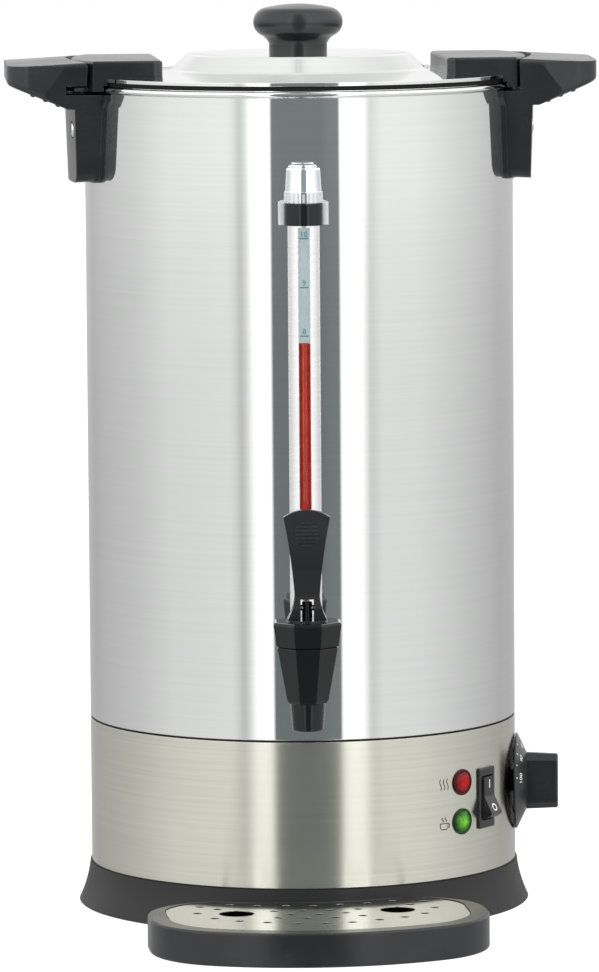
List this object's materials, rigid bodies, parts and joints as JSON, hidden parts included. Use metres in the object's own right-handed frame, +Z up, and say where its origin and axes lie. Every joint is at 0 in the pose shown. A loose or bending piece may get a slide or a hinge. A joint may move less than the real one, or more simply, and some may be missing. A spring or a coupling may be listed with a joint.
{
  "type": "hot water urn",
  "caption": "Round steel hot water urn with black handles and locking lid, lever tap under a sight gauge, thermostat knob, rocker switch and pilot lamps on the base band, and a drip tray.",
  "frame": {"origin": "centre of the urn's round base, on the surface that it stands on", "axes": "+Z up along the tank's axis, -Y to the front (tap, gauge and drip tray), +X to the side nearest to the thermostat knob"},
  "size_m": [0.3118, 0.3404, 0.4765],
  "materials": {
    "polished_steel": "mirror-polished stainless steel",
    "satin_steel": "fine satin stainless steel, nearly polished",
    "chrome": "bright plated",
    "zinc_plate": "dull zinc-plated sheet",
    "screw_steel": "plain steel",
    "black_plastic": "fine satin black, heat resistant",
    "switch_plastic": "glossy black",
    "seal_rubber": "matt black",
    "foot_rubber": "matt black",
    "silicone": "milky silicone",
    "red_lens": "clear red, domed",
    "green_lens": "clear green, domed",
    "glass": "clear tube",
    "red_liquid": "tinted liquid",
    "aluminium": "cast, dull",
    "element_tube": "heat-darkened tube",
    "copper": "bare copper",
    "brass": "turned",
    "phenolic": "dark brown moulding",
    "block_plastic": "off-white moulding",
    "wire": "insulated lead"
  },
  "bodies": {
    "urn": {"tank": "polished_steel", "base_band": "satin_steel", "base_ring": "black_plastic", "rubber_feet": "foot_rubber", "base_plate": "zinc_plate", "base_screws": "screw_steel", "base_nuts": "screw_steel", "heater_plate": "aluminium", "heating_element": "element_tube", "red_lamp": "red_lens", "green_lamp": "green_lens", "lamp_nuts": "black_plastic", "switch_housing": "switch_plastic", "thermostat": "zinc_plate", "thermostat_screws": "screw_steel", "capillary": "copper", "power_inlet": "black_plastic", "inlet_pins": "brass", "inlet_screws": "screw_steel", "boil_dry_cutout": "phenolic", "terminal_block": "block_plastic", "wiring": "wire", "tap_body": "black_plastic", "tap_bonnet": "black_plastic", "tap_spring": "screw_steel", "gauge_tee": "chrome", "tee_washers": "silicone", "tee_nut": "brass", "gauge_seal": "silicone", "gauge_tube": "glass", "level_column": "red_liquid", "gauge_guard": "polished_steel", "gauge_clamp": "chrome", "clamp_strap": "black_plastic", "clamp_screws": "screw_steel", "gauge_cap": "chrome", "handle_right": "black_plastic", "handle_left": "black_plastic", "backing_right": "black_plastic", "backing_left": "black_plastic", "handle_screws": "chrome", "handle_nuts": "screw_steel"},
    "lid_seal": {"lid_seal": "seal_rubber"},
    "lid": {"lid_pan": "polished_steel", "lug_right": "black_plastic", "lug_left": "black_plastic", "lug_screws": "screw_steel", "lid_knob": "black_plastic", "knob_washer": "screw_steel", "knob_screw": "screw_steel"},
    "tap_stem": {"tap_stem": "screw_steel", "seat_cup": "silicone"},
    "tap_lever": {"tap_lever": "black_plastic", "lever_pin": "screw_steel"},
    "thermostat_knob": {"thermostat_knob": "black_plastic", "thermostat_shaft": "screw_steel"},
    "rocker": {"rocker": "switch_plastic"},
    "reset_button": {"reset_button": "red_lens"},
    "drip_tray": {"drip_tray": "black_plastic"},
    "drip_grate": {"drip_grate": "polished_steel"}
  },
  "joints": [
    {"name": "lid_lift", "type": "slide", "parent": "urn", "child": "lid_seal", "axis": [0, 0, 1], "range_m": [0, 0.15]},
    {"name": "lid_turn", "type": "hinge", "parent": "lid_seal", "child": "lid", "pos_m": [0, 0, 0.4375], "axis": [0, 0, 1], "range_deg": [0, 30]},
    {"name": "tap_stem_lift", "type": "slide", "parent": "urn", "child": "tap_stem", "axis": [0, 0, 1], "range_m": [0, 0.0045], "deforming": ["tap_spring"]},
    {"name": "tap_lever_tilt", "type": "hinge", "parent": "tap_stem", "child": "tap_lever", "pos_m": [0, -0.15, 0.174], "axis": [1, 0, 0], "range_deg": [0, 50], "stiffness_Nm_per_rad": 0.016, "springref_deg": -44.46},
    {"name": "thermostat_turn", "type": "hinge", "parent": "urn", "child": "thermostat_knob", "pos_m": [0.11954, -0.01046, 0.0632], "axis": [0.9962, -0.0872, 0], "range_deg": [-135, 135]},
    {"name": "rocker_tilt", "type": "hinge", "parent": "urn", "child": "rocker", "pos_m": [0.09372, -0.06133, 0.0621], "axis": [0.5476, 0.8368, 0], "range_deg": [0, 28]},
    {"name": "reset_push", "type": "slide", "parent": "urn", "child": "reset_button", "axis": [0, 0, 1], "range_m": [0, 0.002], "stiffness_N_per_m": 1000, "springref_m": -0.002},
    {"name": "tray_slide", "type": "slide", "parent": "urn", "child": "drip_tray", "axis": [0.0941, -0.9956, 0], "range_m": [0, 0.12]},
    {"name": "grate_lift", "type": "slide", "parent": "drip_tray", "child": "drip_grate", "axis": [0, 0, 1], "range_m": [0, 0.06]}
  ],
  "couplings": [
    {"joint": "tap_stem_lift", "follows": "tap_lever_tilt", "m_per_rad": 0.005156}
  ]
}
